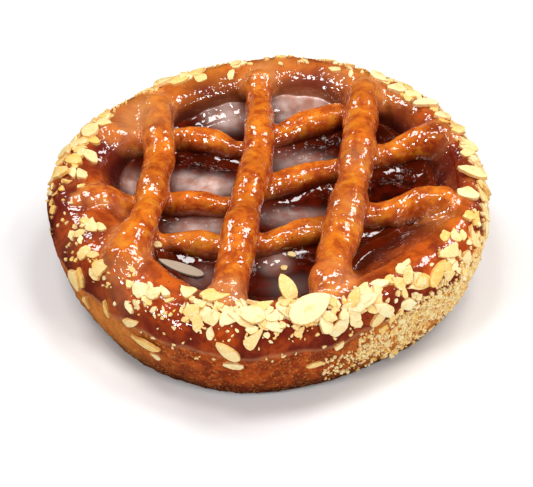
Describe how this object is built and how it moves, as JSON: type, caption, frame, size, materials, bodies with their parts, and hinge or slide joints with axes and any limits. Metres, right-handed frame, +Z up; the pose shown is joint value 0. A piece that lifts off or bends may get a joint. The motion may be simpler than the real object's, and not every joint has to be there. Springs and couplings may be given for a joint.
{
  "type": "linzer tartlet",
  "caption": "Round shortcrust tartlet filled with dark red jam under a glazed dough lattice, with flaked almonds on its rim.",
  "frame": {"origin": "middle of the flat base that the tartlet rests on", "axes": "+Z up, +Y towards the back of the tartlet as pictured, +X to its right; the three upper rolls of the lattice run along Y"},
  "size_m": [0.1022, 0.1007, 0.0287],
  "materials": {
    "glazed_pastry": "golden brown baked shortcrust under a wet, clear sugar glaze; matt and crumbly below the glaze's edge",
    "jam": "dark red jam, wet and glossy, with pools of milky icing",
    "lattice_dough": "orange brown baked dough under a wet, clear sugar glaze",
    "almond": "cream flaked almonds with pale golden edges"
  },
  "bodies": {
    "root": {"pastry_case": "glazed_pastry", "jam_filling": "jam", "long_roll_1": "lattice_dough", "long_roll_2": "lattice_dough", "long_roll_3": "lattice_dough", "cross_roll_1": "lattice_dough", "cross_roll_2": "lattice_dough", "cross_roll_3": "lattice_dough"}
  },
  "joints": []
}
